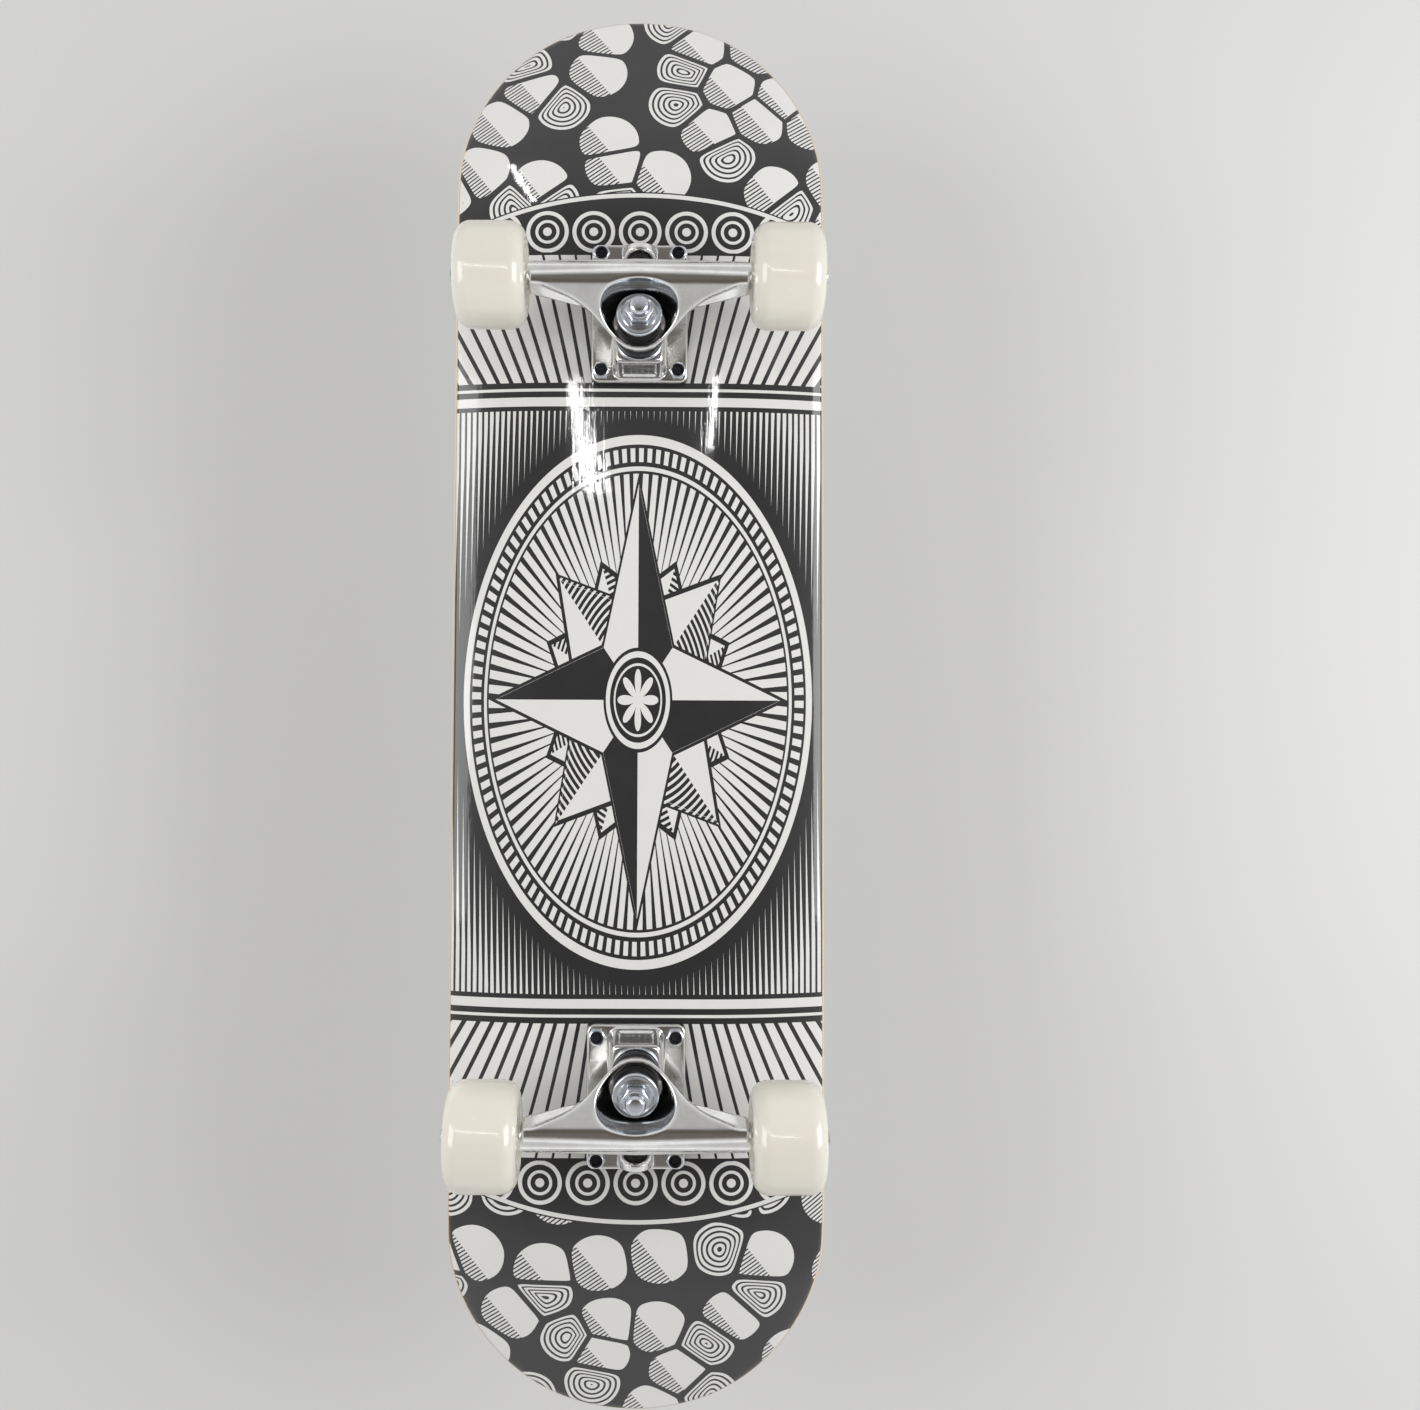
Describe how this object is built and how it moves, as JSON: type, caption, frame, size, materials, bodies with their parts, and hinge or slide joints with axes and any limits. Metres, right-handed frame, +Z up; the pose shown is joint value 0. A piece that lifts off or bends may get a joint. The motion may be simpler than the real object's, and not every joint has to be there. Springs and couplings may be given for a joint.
{
  "type": "skateboard",
  "caption": "Skateboard with a pressed concave deck kicked up at both ends, grip tape, sprung steering trucks and urethane wheels that spin on ball bearings.",
  "frame": {"origin": "on the floor below the middle of the deck, halfway between the axles", "axes": "+X towards the nose, along the board; +Y towards its left side, along the axles; +Z up, square to the flat of the deck"},
  "size_m": [0.79, 0.203, 0.1299],
  "materials": {
    "deck_ply": "gloss-coated maple ply with a printed underside",
    "grip": "abrasive grit",
    "riser_rubber": "matte",
    "cast_alloy": "polished casting",
    "plated_steel": "zinc plated",
    "bushing_rubber": "smooth urethane rubber",
    "urethane": "smooth cast urethane",
    "bearing_steel": "ground"
  },
  "bodies": {
    "board": {"deck": "deck_ply", "grip_tape": "grip", "front_riser_pad": "riser_rubber", "front_baseplate": "cast_alloy", "front_pivot_cup": "riser_rubber", "front_kingpin": "plated_steel", "front_kingpin_nut": "plated_steel", "front_roadside_washer": "plated_steel", "front_boardside_washer": "plated_steel", "front_boardside_bushing": "bushing_rubber", "front_roadside_bushing": "bushing_rubber", "front_mounting_bolts": "plated_steel", "front_mounting_nuts": "plated_steel", "rear_riser_pad": "riser_rubber", "rear_baseplate": "cast_alloy", "rear_pivot_cup": "riser_rubber", "rear_kingpin": "plated_steel", "rear_kingpin_nut": "plated_steel", "rear_roadside_washer": "plated_steel", "rear_boardside_washer": "plated_steel", "rear_boardside_bushing": "bushing_rubber", "rear_roadside_bushing": "bushing_rubber", "rear_mounting_bolts": "plated_steel", "rear_mounting_nuts": "plated_steel"},
    "front_hanger_set": {"front_hanger": "cast_alloy", "front_axle": "plated_steel", "front_speed_washers": "plated_steel", "front_axle_nuts": "plated_steel", "front_bearing_spacers": "plated_steel", "front_bearing_inner_rings": "bearing_steel"},
    "rear_hanger_set": {"rear_hanger": "cast_alloy", "rear_axle": "plated_steel", "rear_speed_washers": "plated_steel", "rear_axle_nuts": "plated_steel", "rear_bearing_spacers": "plated_steel", "rear_bearing_inner_rings": "bearing_steel"},
    "front_left_wheel_set": {"front_left_wheel": "urethane", "front_left_bearing_outer_rings": "bearing_steel", "front_left_bearing_balls": "bearing_steel", "front_left_bearing_shields": "bearing_steel"},
    "front_right_wheel_set": {"front_right_wheel": "urethane", "front_right_bearing_outer_rings": "bearing_steel", "front_right_bearing_balls": "bearing_steel", "front_right_bearing_shields": "bearing_steel"},
    "rear_left_wheel_set": {"rear_left_wheel": "urethane", "rear_left_bearing_outer_rings": "bearing_steel", "rear_left_bearing_balls": "bearing_steel", "rear_left_bearing_shields": "bearing_steel"},
    "rear_right_wheel_set": {"rear_right_wheel": "urethane", "rear_right_bearing_outer_rings": "bearing_steel", "rear_right_bearing_balls": "bearing_steel", "rear_right_bearing_shields": "bearing_steel"}
  },
  "joints": [
    {"name": "front_steer", "type": "hinge", "parent": "board", "child": "front_hanger_set", "pos_m": [0.23675, 0, 0.0643], "axis": [0.8936, 0, 0.4489], "range_deg": [-12, 12], "stiffness_Nm_per_rad": 35, "deforming": ["front_boardside_bushing", "front_roadside_bushing"]},
    {"name": "rear_steer", "type": "hinge", "parent": "board", "child": "rear_hanger_set", "pos_m": [-0.23675, 0, 0.0643], "axis": [-0.8936, 0, 0.4489], "range_deg": [-12, 12], "stiffness_Nm_per_rad": 35, "deforming": ["rear_boardside_bushing", "rear_roadside_bushing"]},
    {"name": "front_left_spin", "type": "hinge", "parent": "front_hanger_set", "child": "front_left_wheel_set", "pos_m": [0.21595, 0.0754, 0.027], "axis": [0, 1, 0], "continuous": true},
    {"name": "front_right_spin", "type": "hinge", "parent": "front_hanger_set", "child": "front_right_wheel_set", "pos_m": [0.21595, -0.0754, 0.027], "axis": [0, 1, 0], "continuous": true},
    {"name": "rear_left_spin", "type": "hinge", "parent": "rear_hanger_set", "child": "rear_left_wheel_set", "pos_m": [-0.21595, 0.0754, 0.027], "axis": [0, 1, 0], "continuous": true},
    {"name": "rear_right_spin", "type": "hinge", "parent": "rear_hanger_set", "child": "rear_right_wheel_set", "pos_m": [-0.21595, -0.0754, 0.027], "axis": [0, 1, 0], "continuous": true}
  ]
}
